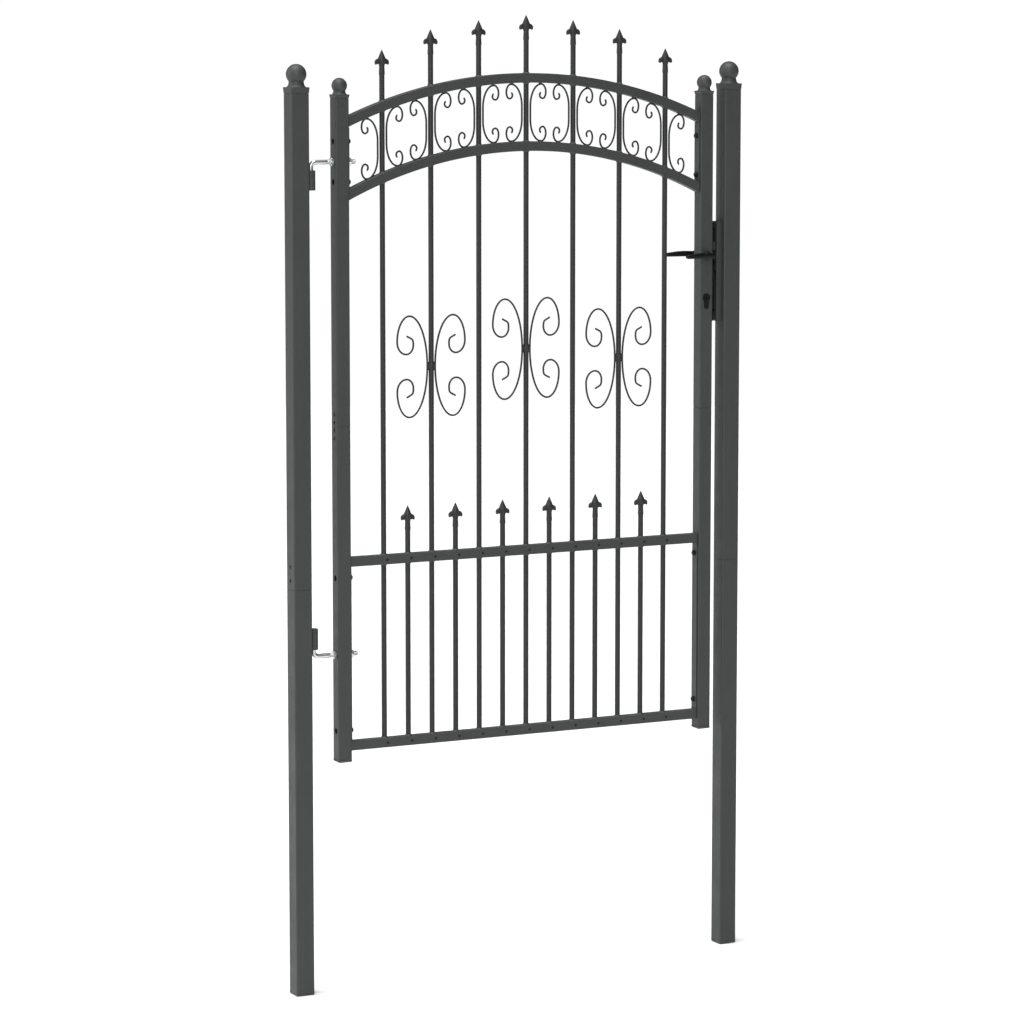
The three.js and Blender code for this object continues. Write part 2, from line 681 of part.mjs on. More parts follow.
// A hub on the stile's face and an arm towards the hinge side, which leans a little off the leaf.
// The front one is at negative Y.
function lever(way) {
  const x = RIGHT_STILE_X;
  const { base, baseTo, hub, near, far, reach, sweep } = LEVER;
  const along = (r, from, to) => {
    const [y0, y1] = way < 0 ? [-to, -from] : [from, to];
    return bar('y', r, y0, y1, x, SPINDLE_Z, 20);
  };
  const arm = new THREE.Shape();
  arm.moveTo(0, 5.4);
  arm.quadraticCurveTo(-36, 7.2, 5 - reach, 3.6);
  arm.quadraticCurveTo(-reach, 2.6, -reach, -1);
  arm.quadraticCurveTo(-reach, -5, 5 - reach, -5.2);
  arm.lineTo(0, -5.4);
  const edge = 1.2;
  const bevelled = { bevelEnabled: true, bevelThickness: edge, bevelSize: edge, bevelSegments: 1 };
  bevelled.bevelOffset = -edge;
  bevelled.curveSegments = 5;
  const [a0, a1] = way < 0 ? [-far, LEVER.arm - far] : [far - LEVER.arm, far];
  const leaning = plate(arm, a0 + edge, a1 - edge, bevelled)
    .rotate([0, 0, -way * sweep])
    .translate([x, 0, SPINDLE_Z]);
  const hole = SPINDLE_SIDE / 2 + GAP;
  const end = way * (SPINDLE_HALF + GAP);
  const [h0, h1] = [Math.min(0, end), Math.max(0, end)];
  return along(base, near, baseTo)
    .add(along(hub, near, far))
    .add(leaning)
    .subtract(box(x - hole, x + hole, h0, h1, SPINDLE_Z - hole, SPINDLE_Z + hole));
}

add('front_lever', lever(-1), BLACK);
add('back_lever', lever(1), BLACK);
const halfSpindle = SPINDLE_SIDE / 2;
const spindleX = [RIGHT_STILE_X - halfSpindle, RIGHT_STILE_X + halfSpindle];
const spindleZ = [SPINDLE_Z - halfSpindle, SPINDLE_Z + halfSpindle];
add('spindle', box(...spindleX, -SPINDLE_HALF, SPINDLE_HALF, ...spindleZ), STEEL);

const gate = new THREE.Group();
gate.name = 'garden_gate';
for (const mesh of meshes.values()) gate.add(mesh);

export default gate;
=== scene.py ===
"""Garden gate: the visual model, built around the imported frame.

Shapes are drawn in millimetres in the frame's own axes and stored in metres.
The closed leaf stands in the XZ plane and +Y points to its back.
"""
import math

import bmesh
import bpy
from mathutils import Matrix, Vector, noise


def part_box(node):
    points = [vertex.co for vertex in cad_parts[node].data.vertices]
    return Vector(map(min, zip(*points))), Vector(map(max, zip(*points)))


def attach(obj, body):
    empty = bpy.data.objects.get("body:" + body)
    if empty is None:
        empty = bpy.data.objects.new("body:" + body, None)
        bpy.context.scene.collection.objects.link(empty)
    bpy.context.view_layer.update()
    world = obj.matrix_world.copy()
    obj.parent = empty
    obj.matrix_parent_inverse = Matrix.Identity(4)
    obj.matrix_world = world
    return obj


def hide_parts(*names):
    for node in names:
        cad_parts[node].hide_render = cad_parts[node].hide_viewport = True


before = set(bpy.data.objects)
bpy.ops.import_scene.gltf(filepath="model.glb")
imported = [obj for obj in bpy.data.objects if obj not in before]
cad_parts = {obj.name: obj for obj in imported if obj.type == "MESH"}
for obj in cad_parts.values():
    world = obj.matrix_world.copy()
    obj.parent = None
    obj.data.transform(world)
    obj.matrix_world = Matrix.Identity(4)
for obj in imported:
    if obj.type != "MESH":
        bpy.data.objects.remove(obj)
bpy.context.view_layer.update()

MM = 0.001
X, Y, Z = (1, 0, 0), (0, 1, 0), (0, 0, 1)
SIDES = (("left", -1), ("right", 1))

# ---------------------------------------------------------------- measures, in mm

# Fits
GAP = 0.3  # between pieces that touch
WALL = 1.5  # of every square tube
DRILL = 3  # half length of a cut through one wall
THROUGH = 20  # half length of a cut through a whole tube

# Posts and stiles
POST = {"side": 40, "corner": 3}
STILE = {"side": 30, "corner": 2.5}
TUBE_EASE = 0.5
POST_BOLT_RISES = (18, 47)  # above the seam
STILE_BOLT_RISES = (-24.7, -7.6, 7.6, 24.7)  # from the seam
SEAM_HOLE_R = 4.5
SEAM_HEAD_R = 4.35
SEAM_HEAD_SINK = 0.4

# Ball caps: the tube's side, the plate at the foot of the ball, and the plate's top
POST_CAP = {"side": 40, "plate": 42.6, "corner": 3, "top": 1879, "ball": 21, "neck": 15.5}
STILE_CAP = {"side": 30, "plate": 32.6, "corner": 2.4, "top": 1863.6, "ball": 16, "neck": 12.5}
CAP_REACH = 15  # how far a cap goes into its tube
FOOT = {"side": 31, "corner": 2.6, "plug": 26.4, "plug_corner": 1.5}

# Rails
RAIL = 20
RAIL_CORNER = 1.6
RAIL_EASE = 0.4
LEAF_MID = 17.5
UPPER_ARCH = (1904, 1036)  # crown and radius of the upper side
LOWER_ARCH = (1762, 959)
ARCH_STEPS = 72

# Pickets, and how many pitches each stands from the middle of the leaf
PICKET_R = 5.5
PITCH = 110.5
TALL = [-3, -2, -1, 0, 1, 2, 3]
SHORT = [-2.5, -1.5, -0.5, 0.5, 1.5, 2.5]
SCREW_OFFSET = 4  # from a picket's middle to the screw that holds it
SCREW_SINK = 0.1  # how far that screw's seat is sunk in the rail
BARB_HALF_THICK = 3.6

# Scrolls. A knot is a point where the wire runs upright or level, and the two kinds take turns.
WIRE_R = 2
BAND_BACK = 10
BAND_SHOULDER = 45  # how far below its top the wire leaves the straight back
BAND_SINK = 1  # how far a scroll sinks into the rail it is welded to
BAND_KNOTS = [(35, 0), (46.2, -16.5), (39, -30), (32, -23.5), (34.7, -18)]
BAND_CAD_STEPS = [3, 3, 2, 2, 1]  # the CAD's own steps, which set the scroll's place
BAND_STEPS = [12, 12, 10, 8, 6]
WING_BACK = 9
WING_KNOTS = [(50, 105.3), (78, 52), (57, 26), (41, 45)]
WING_STEPS = [16, 14, 10, 8]
WING_TAIL = [(41.2, 50), (41.9, 54), (43.4, 56.7), (45.6, 58.4), (50.6, 61), (56.3, 64)]
COLLAR_R = 6.9
WING_WELD_X = 7.1  # from the picket's middle to the bead between collar and wire

# Bolts of the panels
PANEL_BOLT_Z = {"lower": (547.6, 868), "upper": (1685, 1768)}
PANEL_ACCESS_R = 6.5
PANEL_HOLE_R = 3.3

# Hinges: a bent bolt on the leaf stands in a barrel on the post
HINGE_X = -474.2
HINGE_R = 5
HINGE_BEND = 10
HINGES = {
    "upper": {"arm": 1726.3, "pin": 1676, "low": 1669.5, "high": 1710},
    "lower": {"arm": 708.4, "pin": 758.7, "low": 723, "high": 766.5},
}
THREAD_START = 14  # from the stile's outer face
BARREL = {"outer": 9.5, "bore": 5.5, "ease": 0.6}
WEB_THICK = 8
WEB_REACH = 6.5  # from the hinge axis to the edge of the web
SEAM_R = 1.7  # of the weld between web and post

# Lock
SPINDLE_Z = 1513
SPINDLE_HOLE_R = 7
KEY_Z = 1421.9
CASE = {"low": 1386, "high": 1552, "half": 8}
CYLINDER = {"r": 8.5, "web": 5, "drop": 24.5, "half": 16.5, "bore": 6.6}
CYLINDER_FIT = 0.4
KEEPER_FACE = 472.5
KEEPER_SCREW_Y = 1.5
KEEPER_SCREW = {"r": 3.6, "stand": 0.9, "socket": 3, "deep": 1.4}
KEEPER_SCREW_AT = (22, 20, 16)  # above its foot, above its middle and below its top
FOREND_SCREW = {"r": 3.2, "stand": 0.25, "socket": 2.6, "deep": 1.4}
FOREND_SCREW_INSET = 7  # from the ends of the forend

# Levers, with heights measured outwards from the leaf's middle plane
LEVER_REACH = 71
LEVER_FAR = 45
LEVER_SWEEP = math.radians(5)
LEVER_END = 6  # length of the rounded end
LEVER_INSET = 5  # from the hub's end to the middle of the arm
LEVER_HALF_DEEP = 4.9
LEVER_POWER = 3.2  # how boxy the arm's section is
HUB_R = 6.5
HUB_BASE = {"r": 8.5, "near": 15.4, "far": 20}

# Turned profiles: radius and height, with a hexagon's width over flats as a third number
PICKET_SCREW = [(2.8, -1.5), (2.8, 0.1), (2.4, 0.5), (1.4, 0.8), (0.2, 0.9)]
PANEL_BOLT = [
    (6.2, -0.2),
    (6.2, 0.9),
    (5.9, 1.1),
    (5.4, 1.1),
    (5.4, 3.4),
    (4.9, 4.6),
    (3.6, 5.5),
    (1.4, 6),
    (0.3, 6),
]
PANEL_SHANK = [(2.9, 0), (2.9, 6)]
PANEL_NUT = [(5, 0, 10), (5.6, 0.5, 10), (5.6, 3.6, 10), (4.6, 4, 10), (0.3, 4)]
WELD_BLOB = [(3.4, -0.8), (3.2, 0.2), (2.4, 1.0), (1.2, 1.5), (0.3, 1.6)]
WING_WELD = [(0.4, -9), (1.4, -8.2), (2.1, -5), (2.3, 0), (2.1, 5), (1.4, 8.2), (0.4, 9)]


def span(node):
    """Lowest and highest corner of a CAD node, in millimetres."""
    low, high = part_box(node)
    return low / MM, high / MM


def middle(node):
    low, high = span(node)
    return (low + high) / 2


# ---------------------------------------------------------------- drawing


def on(origin, axis=Z):
    """Places local Z along an axis through a point."""
    w = Vector(axis).normalized()
    u = Vector(Y).cross(w) if abs(w.y) < 0.9 else Vector(X)
    v = w.cross(u)
    place = Matrix((u, v, w)).transposed().to_4x4()
    place.translation = origin
    return place


def rounded(wide, deep, corner, turns=4):
    """Points of a rectangle with rounded corners."""
    points = []
    for k, (sx, sy) in enumerate(((1, 1), (-1, 1), (-1, -1), (1, -1))):
        for i in range(turns + 1):
            a = (k + i / turns) * math.pi / 2
            x = sx * (wide / 2 - corner) + corner * math.cos(a)
            points.append((x, sy * (deep / 2 - corner) + corner * math.sin(a)))
    return points


def oval(a, b, power, h, sides=32):
    """A ring at height h: a diamond at power 1, an ellipse at 2 and a rounded box above that."""
    ring = []
    for i in range(sides):
        t = 2 * math.pi * i / sides
        c, s = math.cos(t), math.sin(t)
        x = a * math.copysign(abs(c) ** (2 / power), c)
        ring.append((x, b * math.copysign(abs(s) ** (2 / power), s), h))
    return ring


def hexagon(a, flats):
    """Distance from the middle of a hexagon to its side, in direction a."""
    return flats / 2 / math.cos((a + math.pi / 6) % (math.pi / 3) - math.pi / 6)


class Draft:
    """Mesh parts of one piece, drawn in millimetres."""

    def __init__(self):
        self.bm = bmesh.new()

    def loft(self, rings, place=Matrix(), loop=False):
        """Skins rings of equally many points. The ends are closed unless the rings loop."""
        rows = [[self.bm.verts.new(place @ Vector(p)) for p in ring] for ring in rings]
        count = len(rows[0])
        for a, b in zip(rows, rows[1:] + (rows[:1] if loop else [])):
            for i in range(count):
                j = (i + 1) % count
                self.bm.faces.new((a[i], a[j], b[j], b[i]))
        if not loop:
            self.bm.faces.new(rows[0][::-1])
            self.bm.faces.new(rows[-1])
        return self

    def turn(self, profile, place=Matrix(), sides=32, loop=False, bump=0.0):
        """Turns (radius, height) rows about local Z.

        A third number cuts a row to a hexagon that wide over its flats, and bump is the share by
        which the radius swells and shrinks, as on a weld bead.
        """
        rings = []
        for r, h, *flats in profile:
            ring = []
            for i in range(sides):
                a = 2 * math.pi * i / sides
                reach = min(r, hexagon(a, flats[0])) if flats else r
                if bump:
                    spot = Vector((2.2 * math.cos(a), 2.2 * math.sin(a), h + place.translation.x))
                    reach *= 1 + bump * noise.noise(spot)
                ring.append((reach * math.cos(a), reach * math.sin(a), h))
            rings.append(ring)
        return self.loft(rings, place, loop)

    def beam(self, wide, deep, corner, rows, place=Matrix(), loop=False):
        """A rounded bar along local Z. The rows are (height, how far in from the outside)."""
        rings = []
        for h, inset in rows:
            outline = rounded(wide - 2 * inset, deep - 2 * inset, max(corner - inset, 0.3))
            rings.append([(x, y, h) for x, y in outline])
        return self.loft(rings, place, loop)

    def slab(self, outline, low, high, edge=0.0, segments=2):
        """An outline of (x, z) points given thickness from Y low to Y high, with rounded rims."""
        own = bmesh.new()
        rims = [[own.verts.new((x, y, z)) for x, z in outline] for y in (low, high)]
        for i in range(len(outline)):
            j = (i + 1) % len(outline)
            own.faces.new((rims[0][i], rims[0][j], rims[1][j], rims[1][i]))
        ends = [own.faces.new(rims[0][::-1]), own.faces.new(rims[1])]
        if edge:
            rim = list({e for face in ends for e in face.edges})
            bevel(own, rim, edge, segments)
        return self.take(own)

    def wire(self, path, r, sides=12):
        """A round wire along (x, z) points, with its ends eased."""
        spots = [Vector((x, 0, z)) for x, z in path]
        last = len(spots) - 1
        rings = []
        for i, spot in enumerate(spots):
            along = (spots[min(i + 1, last)] - spots[max(i - 1, 0)]).normalized()
            out = along.cross(Vector(Y))
            radii = [(0, r)]
            if i == 0:
                radii = [(0, 0.72 * r), (0.3 * r, r)]
            if i == last:
                radii = [(-0.3 * r, r), (0, 0.72 * r)]
            for shift, radius in radii:
                ring = []
                for k in range(sides):
                    a = 2 * math.pi * k / sides
                    arm = out * math.cos(a) + Vector(Y) * math.sin(a)
                    ring.append(spot + along * shift + arm * radius)
                rings.append(ring)
        return self.loft(rings)

    def thread(self, place, length, r, depth=0.8, pitch=1.5, sides=24, cuts=6):
        """A threaded rod along local Z, pointed a little at its far end."""
        rings = []
        for k in range(round(length / pitch * cuts) + 1):
            h = k * pitch / cuts
            ring = []
            for i in range(sides):
                phase = (h / pitch - i / sides) % 1
                dip = depth * min(1, max(0, 1.3 * abs(2 * phase - 1) - 0.15))
                reach = min(r - dip, r - 1.2 + (length - h))
                a = 2 * math.pi * i / sides
                ring.append((reach * math.cos(a), reach * math.sin(a), h))
            rings.append(ring)
        return self.loft(rings, place)

    def take(self, other):
        """Adds another mesh and frees it."""
        spare = bpy.data.meshes.new("spare")
        other.to_mesh(spare)
        other.free()
        self.bm.from_mesh(spare)
        bpy.data.meshes.remove(spare)
        return self

    def make(self, name):
        """The object, in metres, with its faces turned out."""
        bmesh.ops.remove_doubles(self.bm, verts=self.bm.verts, dist=1e-3)
        bmesh.ops.recalc_face_normals(self.bm, faces=self.bm.faces)
        bmesh.ops.scale(self.bm, vec=(MM,) * 3, verts=self.bm.verts)
        mesh = bpy.data.meshes.new(name)
        self.bm.to_mesh(mesh)
        self.bm.free()
        obj = bpy.data.objects.new(name, mesh)
        bpy.context.scene.collection.objects.link(obj)
        return obj


def bevel(bm, edges, width, segments):
    bmesh.ops.bevel(
        bm,
        geom=edges,
        offset=width,
        segments=segments,
        profile=0.5,
        affect="EDGES",
        clamp_overlap=True,
    )


def from_cad(node, width, segments=2, sharp=40):
    """A CAD node's own shape with the edges that turn more than sharp degrees rounded."""
    draft = Draft()
    bm = draft.bm
    bm.from_mesh(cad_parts[node].data)
    bmesh.ops.scale(bm, vec=(1 / MM,) * 3, verts=bm.verts)
    bmesh.ops.remove_doubles(bm, verts=bm.verts, dist=0.004)
    bmesh.ops.dissolve_limit(bm, angle_limit=0.01, verts=bm.verts, edges=bm.edges)
    limit = math.radians(sharp)
    edges = [e for e in bm.edges if e.is_manifold and e.calc_face_angle(0) > limit]
    bevel(bm, edges, width, segments)
    return draft


def drills(holes):
    """Round cutters: (point, axis, radius, half length)."""
    cutter = Draft()
    for point, axis, r, half in holes:
        cutter.turn([(r, -half), (r, half)], on(point, axis))
    return cutter


def carve(obj, cutter):
    """Cuts a draft's shapes out of an object."""
    tool = cutter.make("cutter")
    cut = obj.modifiers.new("cut", "BOOLEAN")
    cut.operation, cut.solver, cut.object = "DIFFERENCE", "EXACT", tool
    depsgraph = bpy.context.evaluated_depsgraph_get()
    mesh = bpy.data.meshes.new_from_object(obj.evaluated_get(depsgraph))
    obj.modifiers.clear()
    obj.data = mesh
    bpy.data.objects.remove(tool)


def piece(name, draft, body, look, replaced=(), cutter=None, smooth=40):
    """Finishes a draft as a shown piece that rides on a body."""
    obj = draft.make(name)
    if cutter:
        carve(obj, cutter)
    mesh = obj.data
    mesh.name = name
    for attribute in [a for a in mesh.attributes if a.name == "custom_normal"]:
        mesh.attributes.remove(attribute)
    mesh.materials.clear()
    mesh.materials.append(look["material"])
    mesh.shade_smooth()
    mesh.set_sharp_from_angle(angle=math.radians(smooth))
    level = obj.modifiers.new("level", "WEIGHTED_NORMAL")
    level.mode, level.weight, level.keep_sharp = "FACE_AREA", 100, True
    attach(obj, body)
    if replaced:
        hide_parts(*replaced)


# ---------------------------------------------------------------- materials


class Graph:
    """A material's node tree."""

    def __init__(self, name):
        self.material = bpy.data.materials.new(name)
        self.material.use_nodes = True
        self.tree = self.material.node_tree
        self.tree.nodes.clear()
        self.shader = self.node("ShaderNodeBsdfPrincipled")
        output = self.node("ShaderNodeOutputMaterial")
        self.join(self.shader.outputs[0], output.inputs[0])
        self.where = self.node("ShaderNodeTexCoord").outputs["Object"]

    def node(self, kind, **settings):
        made = self.tree.nodes.new(kind)
        for key, value in settings.items():
            setattr(made, key, value)
        return made

    def join(self, source, target):
        self.tree.links.new(source, target)

    def fill(self, socket, value):
        """Links an output to a socket, or sets the socket to a number or colour."""
        if isinstance(value, bpy.types.NodeSocket):
            self.join(value, socket)
        else:
            socket.default_value = value

    def put(self, node, **values):
        """Fills inputs by name. An underscore stands for a space."""
        for key, value in values.items():
            self.fill(node.inputs[key.replace("_", " ")], value)
        return node

    def noise(self, scale, detail, rough=0.5, stretch=None):
        where = self.where
        if stretch:
            mapping = self.put(self.node("ShaderNodeMapping"), Vector=where, Scale=stretch)
            where = mapping.outputs[0]
        made = self.node("ShaderNodeTexNoise")
        self.put(made, Vector=where, Scale=scale, Detail=detail, Roughness=rough)
        return made.outputs["Fac"]

    def ramp(self, value, low, high, start=0.0, end=1.0):
        """Maps low..high of a value to start..end, and holds it there."""
        made = self.node("ShaderNodeMapRange", clamp=True)
        for i, v in enumerate((value, low, high, start, end)):
            self.fill(made.inputs[i], v)
        return made.outputs[0]

    def maths(self, operation, a, b):
        made = self.node("ShaderNodeMath", operation=operation)
        self.fill(made.inputs[0], a)
        self.fill(made.inputs[1], b)
        return made.outputs[0]

    def mix(self, factor, a, b):
        """Mixes two colours."""
        made = self.node("ShaderNodeMix", data_type="RGBA", blend_type="MIX")
        self.fill(made.inputs[0], factor)
        for index, value in ((6, a), (7, b)):
            self.fill(made.inputs[index], (*value, 1) if isinstance(value, tuple) else value)
        return made.outputs[2]

    def bumps(self, *layers):
        """Stacks (height, strength, distance) bumps."""
        normal = None
        for height, strength, distance in layers:
            made = self.node("ShaderNodeBump")
            self.put(made, Height=height, Strength=strength, Distance=distance)
            if normal:
                self.join(normal, made.inputs["Normal"])
            normal = made.outputs[0]
        return normal


def tinted(colour, by):
    return tuple(c * by for c in colour)


def coat(name, colour, dust, rough, level, grain=1.0):
    """Powder coat: fine grain over a slow ripple, mottled, with a little dust on what faces up."""
    g = Graph(name)
    cloud = g.ramp(g.noise(5, 3), 0.3, 0.7)
    streak = g.ramp(g.noise(1, 3, 0.6, (55, 55, 2.5)), 0.3, 0.7)
    speck = g.noise(1500, 2, 0.6)
    body = g.mix(cloud, tinted(colour, 0.92), tinted(colour, 1.08))
    body = g.mix(g.maths("MULTIPLY", streak, 0.35), body, tinted(colour, 0.82))
    body = g.mix(g.ramp(speck, 0.35, 0.72, 0, 0.5), body, tinted(colour, 1.3))
    up = g.node("ShaderNodeSeparateXYZ")
    g.join(g.node("ShaderNodeNewGeometry").outputs["Normal"], up.inputs[0])
    patches = g.ramp(g.noise(60, 4), 0.3, 0.7)
    settled = g.maths("MULTIPLY", g.ramp(up.outputs[2], 0.25, 1.0), patches)
    body = g.mix(g.maths("MULTIPLY", settled, 0.5), body, dust)
    gloss = g.ramp(g.noise(24, 3), 0.3, 0.7, rough - 0.06, rough + 0.06)
    ripple = g.noise(420, 2)
    relief = g.bumps((ripple, 0.25 * grain, 0.0004), (speck, 0.5 * grain, 0.0002))
    g.put(g.shader, Base_Color=body, Roughness=gloss, Normal=relief, Specular_IOR_Level=level)
    return g.material


def metal(name, cool, warm, rough, streaks):
    """Plated or bare steel: two tints in clouds, drawn lines and small dull spots."""
    g = Graph(name)
    cloud = g.ramp(g.noise(70, 3, 0.6), 0.35, 0.65)
    lines = g.noise(1, 2, 0.7, streaks)
    body = g.mix(cloud, cool, warm)
    body = g.mix(g.ramp(lines, 0.35, 0.7, 0, 0.35), body, tinted(cool, 0.7))
    spots = g.ramp(g.noise(420, 2), 0.58, 0.72)
    body = g.mix(g.maths("MULTIPLY", spots, 0.35), body, tinted(warm, 0.55))
    worn = g.ramp(cloud, 0, 1, rough - 0.05, rough + 0.05)
    gloss = g.maths("ADD", worn, g.maths("MULTIPLY", spots, 0.15))
    relief = g.bumps((lines, 0.3, 0.0001))
    g.put(g.shader, Base_Color=body, Roughness=gloss, Normal=relief, Metallic=1.0)
    return g.material


def plastic(name, colour, rough):
    """Moulded plastic with a fine grain and faint flow marks."""
    g = Graph(name)
    flow = g.ramp(g.noise(1, 3, 0.5, (30, 30, 140)), 0.3, 0.7)
    body = g.mix(flow, tinted(colour, 0.88), tinted(colour, 1.14))
    grain = g.noise(2200, 3, 0.7)
    gloss = g.ramp(grain, 0.3, 0.7, rough - 0.08, rough + 0.08)
    relief = g.bumps((flow, 0.1, 0.0004), (grain, 0.5, 0.00012))
    g.put(g.shader, Base_Color=body, Roughness=gloss, Normal=relief)
    return g.material


def floor_material(name):
    """A dull pale floor with a trace of unevenness."""
    g = Graph(name)
    tone = g.mix(g.ramp(g.noise(1.3, 4), 0.3, 0.7), (0.8, 0.8, 0.8), (0.83, 0.83, 0.83))
    g.put(g.shader, Base_Color=tone, Roughness=0.9, Specular_IOR_Level=0.1)
    return g.material


GREY = (0.030, 0.0335, 0.0318)
# The frame's grey darkened for the round bars: painted shade, since they wear the same paint as the
# frame
SHADED_BAR_GREY = tinted(GREY, 0.58)
DUST = (0.09, 0.094, 0.09)
BLACK_DUST = (0.012, 0.012, 0.012)
DRAWN = (1400, 90, 1400)  # how finely lines drawn along Y repeat in each direction
PAINT = {"slot": "frame_paint", "material": coat("powder_grey", GREY, DUST, 0.52, 0.4)}
# Paint of the pickets, scrolls and their welds: the frame's coat in that darkened grey, which is
# painted shade
SHADED_BARS = {
    "slot": "frame_paint",
    "material": coat("powder_grey_bars_shaded", SHADED_BAR_GREY, DUST, 0.5, 0.3, grain=0.25),
}
BLACK = {
    "slot": "black_paint",
    "material": coat("powder_black", (0.003, 0.003, 0.0032), BLACK_DUST, 0.4, 0.22, grain=0.7),
}
ZINC = {
    "slot": "zinc_plate",
    "material": metal("zinc_plate", (0.62, 0.64, 0.67), (0.66, 0.65, 0.61), 0.3, (900, 900, 60)),
}
STEEL = {
    "slot": "bare_steel",
    "material": metal("drawn_steel", (0.36, 0.37, 0.38), (0.4, 0.39, 0.37), 0.36, DRAWN),
}
# Steel much darker than the bare steel, for the latch bolt, the dead bolt and the forend screws
DARK_STEEL = {
    "slot": "bare_steel",
    "material": metal("darkened_steel", (0.07, 0.07, 0.072), (0.085, 0.08, 0.075), 0.38, DRAWN),
}
PLASTIC = {"slot": "grey_plastic", "material": plastic("moulded_grey", (0.038, 0.041, 0.04), 0.55)}

# ---------------------------------------------------------------- posts and stiles


def tube_draft(node, side, corner):
    """A square tube with rounded corners and eased ends, as long as its CAD node."""
    low, high = span(node)
    rows = [
        (low.z + TUBE_EASE, 0),
        (high.z - TUBE_EASE, 0),
        (high.z, TUBE_EASE),
        (high.z, WALL),
        (low.z, WALL),
        (low.z, TUBE_EASE),
    ]
    return Draft().beam(side, side, corner, rows, on((middle(node).x, 0, 0)), loop=True)


def key_outline(grow):
    """The lock cylinder's outline, grown all round, as (x, z) points."""
    x = middle("lock_cylinder").x
    r, web = CYLINDER["r"] + grow, CYLINDER["web"] + grow
    low = KEY_Z - CYLINDER["drop"] + CYLINDER["web"]
    first = math.asin(-math.sqrt(r * r - web * web) / r)
    points = []
    for i in range(33):
        a = first + (math.pi - 2 * first) * i / 32
        points.append((x + r * math.cos(a), KEY_Z + r * math.sin(a)))
    for i in range(17):
        a = math.pi + math.pi * i / 16
        points.append((x + web * math.cos(a), low + web * math.sin(a)))
    return points


def screw_head(draft, point, axis, r, stand=0.0, socket=4.0, deep=2.6):
    """A low domed head with a hexagon socket."""
    draft.turn(
        [
            (r, -3.5),
            (r, stand - 0.9),
            (r * 0.93, stand - 0.35),
            (r * 0.78, stand),
            (socket * 0.62, stand + 0.1),
            (9, stand - 0.1, socket),
            (9, stand - deep, socket),
        ],
        on(point, axis),
        60,
    )


def seam_bolts(name, points, sign, body):
    """The bolts of a tube's joint, a little sunk in its outer face."""
    heads = Draft()
    for point in points:
        screw_head(heads, point - Vector((sign * SEAM_HEAD_SINK, 0, 0)), (sign, 0, 0), SEAM_HEAD_R)
    piece(name, heads, body, BLACK)


def post(side, sign):
    """A post in two halves. Its bolts are above the joint."""
    lower = f"{side}_post_lower"
    seam = span(lower)[1].z
    outer = middle(lower).x + sign * POST["side"] / 2
    bolts = [Vector((outer, 0, seam + rise)) for rise in POST_BOLT_RISES]
    holes = drills([(p, X, SEAM_HOLE_R, DRILL) for p in bolts])
    for half, cutter in (("lower", None), ("upper", holes)):
        node = f"{side}_post_{half}"
        piece(f"{node}_look", tube_draft(node, **POST), "posts", PAINT, [node], cutter)
    seam_bolts(f"{side}_post_bolts", bolts, sign, "posts")


def stile(side, sign):
    """A stile in two halves, with bolts on both sides of the joint and holes for what it holds."""
    lower = f"{side}_stile_lower"
    seam = span(lower)[1].z
    x = middle(lower).x
    outer = x + sign * STILE["side"] / 2
    inner = x - sign * STILE["side"] / 2
    bolts = [Vector((outer, 0, seam + rise)) for rise in STILE_BOLT_RISES]
    for half, near in (("lower", bolts[:2]), ("upper", bolts[2:])):
        node = f"{side}_stile_{half}"
        holes = [(p, X, SEAM_HOLE_R, DRILL) for p in near]
        for z in PANEL_BOLT_Z[half]:
            holes.append(((outer, 0, z), X, PANEL_ACCESS_R, DRILL))
            holes.append(((inner, 0, z), X, PANEL_HOLE_R, DRILL))
        if side == "left":
            holes.append(((x, 0, HINGES[half]["arm"]), X, HINGE_R + GAP, THROUGH))
        elif half == "upper":
            holes.append(((x, 0, SPINDLE_Z), Y, SPINDLE_HOLE_R, THROUGH))
        cutter = drills(holes)
        if side == "right" and half == "upper":
            cutter.slab(key_outline(CYLINDER_FIT), -THROUGH, THROUGH)
            low, high, deep = CASE["low"] - GAP, CASE["high"] + GAP, CASE["half"] + GAP
            mouth = [(x, low), (x + THROUGH, low), (x + THROUGH, high), (x, high)]
            cutter.slab(mouth, -deep, deep)
        piece(f"{node}_look", tube_draft(node, **STILE), "leaf", PAINT, [node], cutter)
    seam_bolts(f"{side}_stile_bolts", bolts, sign, "leaf")


def ball_cap(node, body, side, plate, corner, top, ball, neck):
    """A plug in the tube, a flared square plate, a turned neck and a ball."""
    low, high = span(node)
    place = on((middle(node).x, 0, 0))
    base = low.z + CAP_REACH
    centre = high.z - ball
    flare = (plate - side) / 2
    rows = [(base, flare), (base + 1.2, flare * 0.86), (base + (top - base) * 0.5, flare * 0.5)]
    rows += [(top - 2.2, flare * 0.06), (top - 1.1, 0), (top - 0.4, 0.25), (top, 1.1)]
    draft = Draft().beam(plate, plate, corner, rows, place)
    inner = side - 2 * WALL - 2 * GAP
    draft.beam(inner, inner, 1.5, [(low.z, 1.2), (low.z + 1.2, 0), (base + 0.5, 0)], place)
    wide = plate * 0.47
    rise = math.sqrt(ball * ball - neck * neck)
    neck_top = centre - rise
    profile = [(wide, top - 1.5), (wide, top + 0.35), (wide - 0.5, top + 0.9)]
    for k in range(1, 9):
        share = k / 8
        r = neck + (wide - 1.2 - neck) * (1 - share) ** 2.6
        profile.append((r, top + 1 + (neck_top - top - 1) * share))
    first = math.asin(-rise / ball)
    for k in range(1, 24):
        a = first + (math.pi / 2 - first) * k / 24
        profile.append((ball * math.cos(a), centre + ball * math.sin(a)))
    profile.append((0.4, high.z))
    draft.turn(profile, place, 56)
    piece(f"{node}_look", draft, body, PAINT, [node])


